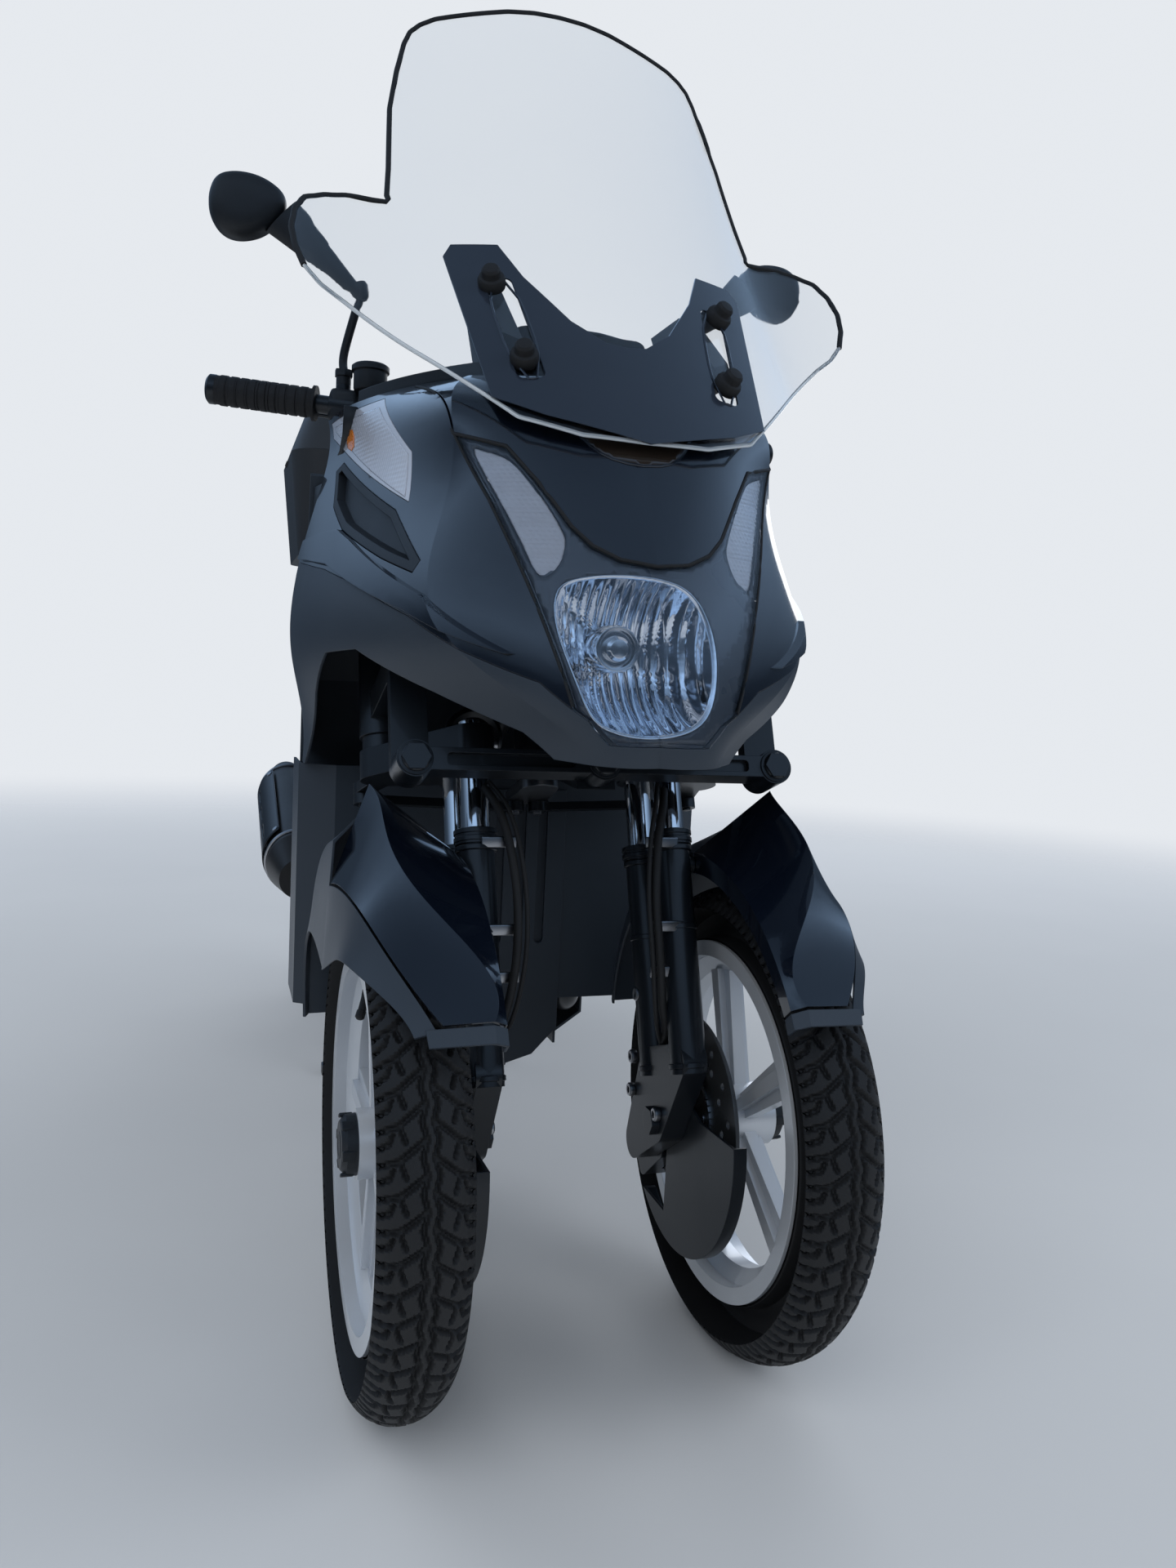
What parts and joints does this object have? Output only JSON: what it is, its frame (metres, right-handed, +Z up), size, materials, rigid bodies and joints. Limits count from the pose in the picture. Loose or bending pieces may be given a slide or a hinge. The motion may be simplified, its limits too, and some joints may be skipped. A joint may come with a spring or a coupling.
{
  "type": "reverse trike scooter",
  "caption": "Leaning three-wheel scooter with twin steered front wheels, one driven rear wheel, tall screen and top case, on its centre stand.",
  "frame": {"origin": "on the ground under the middle of the length, on the centreline", "axes": "+Z up, -Y forward, +X to the vehicle's left"},
  "size_m": [0.754, 2.045, 1.47],
  "materials": {
    "black_metal": "satin black paint",
    "black_plastic": "moulded black",
    "case_plastic": "textured dark plastic",
    "cast_alloy": "silver painted casting",
    "chrome": "hard chrome",
    "clear_screen": "clear acrylic",
    "disc_steel": "ground brake face",
    "engine_alloy": "cast alloy, painted",
    "gloss_black": "gloss black lacquer",
    "grey_plastic": "moulded dark grey, fine grain",
    "grip_rubber": "ribbed black rubber",
    "muffler_metal": "heat-proof black",
    "red_lens": "ribbed red lens",
    "reflector": "bright lamp reflector",
    "seat_vinyl": "grained black vinyl",
    "signal_lens": "ribbed smoky white lens",
    "tyre": "black rubber with a block tread",
    "visor_dark": "satin dark screen panel"
  },
  "bodies": {
    "front_wheel_left": {"front_disc_left": "disc_steel", "front_rim_left": "cast_alloy", "front_tyre_left": "tyre", "hub_cap_left": "black_plastic"},
    "fork_left": {"brake_left": "black_metal", "fender_guard_left": "grey_plastic", "fork_left": "black_metal", "fork_tubes_left": "chrome", "front_fender_left": "gloss_black"},
    "tie_rod_left": {"tie_rod_left": "black_metal"},
    "front_wheel_right": {"front_disc_right": "disc_steel", "front_rim_right": "cast_alloy", "front_tyre_right": "tyre", "hub_cap_right": "black_plastic"},
    "fork_right": {"brake_right": "black_metal", "fender_guard_right": "grey_plastic", "fork_right": "black_metal", "fork_tubes_right": "chrome", "front_fender_right": "gloss_black"},
    "tie_rod_right": {"tie_rod_right": "black_metal"},
    "rear_wheel": {"rear_rim": "cast_alloy", "rear_tyre": "tyre"},
    "seat": {"seat": "seat_vinyl", "seat_base": "black_plastic"},
    "top_case_lid": {"top_case_lid": "case_plastic"},
    "centre_stand": {"centre_stand": "black_metal"},
    "side_stand": {"side_stand": "black_metal"},
    "steering": {"grips": "grip_rubber", "handlebar": "black_metal", "handlebar_cover": "black_plastic", "mirrors": "black_plastic", "steering_column": "black_metal"},
    "chassis": {"belly_cover": "grey_plastic", "drive_case": "engine_alloy", "engine": "engine_alloy", "floorboard": "black_plastic", "frame": "black_metal", "front_cowl": "gloss_black", "headlight": "reflector", "headlight_lens": "clear_screen", "instrument_panel": "black_plastic", "knuckles": "black_metal", "lean_arms": "black_metal", "leg_shield": "grey_plastic", "lower_cowl": "grey_plastic", "muffler": "muffler_metal", "rear_carrier": "black_metal", "rear_mudguard": "black_plastic", "rear_shocks": "black_metal", "shield_panel": "gloss_black", "storage_bin": "black_plastic", "swing_arm": "black_metal", "tail_cowl": "gloss_black", "tail_lamp": "red_lens", "top_case": "case_plastic", "turn_signals": "signal_lens", "vent_panels": "black_plastic", "visor": "visor_dark", "windshield": "clear_screen"}
  },
  "joints": [
    {"name": "steering", "type": "hinge", "parent": "chassis", "child": "steering", "pos_m": [0, -0.5775, 0.64], "axis": [0, 0.342, 0.9397], "range_deg": [-32, 32]},
    {"name": "fork_turn_left", "type": "hinge", "parent": "chassis", "child": "fork_left", "pos_m": [0.185, -0.63377, 0.568], "axis": [0, 0.342, 0.9397], "range_deg": [-32, 32]},
    {"name": "tie_rod_swing_left", "type": "hinge", "parent": "steering", "child": "tie_rod_left", "pos_m": [0.014, -0.5387, 0.56532], "axis": [0, 0.342, 0.9397], "range_deg": [-32, 32]},
    {"name": "front_wheel_left_spin", "type": "hinge", "parent": "fork_left", "child": "front_wheel_left", "pos_m": [0.1925, -0.7725, 0.25], "axis": [1, 0, 0], "continuous": true},
    {"name": "fork_turn_right", "type": "hinge", "parent": "chassis", "child": "fork_right", "pos_m": [-0.185, -0.63377, 0.568], "axis": [0, 0.342, 0.9397], "range_deg": [-32, 32]},
    {"name": "tie_rod_swing_right", "type": "hinge", "parent": "steering", "child": "tie_rod_right", "pos_m": [-0.014, -0.5387, 0.56532], "axis": [0, 0.342, 0.9397], "range_deg": [-32, 32]},
    {"name": "front_wheel_right_spin", "type": "hinge", "parent": "fork_right", "child": "front_wheel_right", "pos_m": [-0.1925, -0.7725, 0.25], "axis": [1, 0, 0], "continuous": true},
    {"name": "rear_wheel_spin", "type": "hinge", "parent": "chassis", "child": "rear_wheel", "pos_m": [0, 0.5375, 0.256], "axis": [1, 0, 0], "continuous": true},
    {"name": "seat_hinge", "type": "hinge", "parent": "chassis", "child": "seat", "pos_m": [0, 0.0095, 0.722], "axis": [1, 0, 0], "range_deg": [0, 65]},
    {"name": "top_case_hinge", "type": "hinge", "parent": "chassis", "child": "top_case_lid", "pos_m": [0, 0.6245, 1.174], "axis": [1, 0, 0], "range_deg": [0, 75]},
    {"name": "centre_stand_fold", "type": "hinge", "parent": "chassis", "child": "centre_stand", "pos_m": [0, 0.1775, 0.172], "axis": [1, 0, 0], "range_deg": [0, 78]},
    {"name": "side_stand_swing", "type": "hinge", "parent": "chassis", "child": "side_stand", "pos_m": [0.14, -0.0025, 0.2], "axis": [-0.9659, 0, -0.2588], "range_deg": [0, 95]}
  ],
  "couplings": [
    {"joint": "fork_turn_left", "follows": "steering", "ratio": 1},
    {"joint": "tie_rod_swing_left", "follows": "steering", "ratio": -1},
    {"joint": "fork_turn_right", "follows": "steering", "ratio": 1},
    {"joint": "tie_rod_swing_right", "follows": "steering", "ratio": -1}
  ]
}
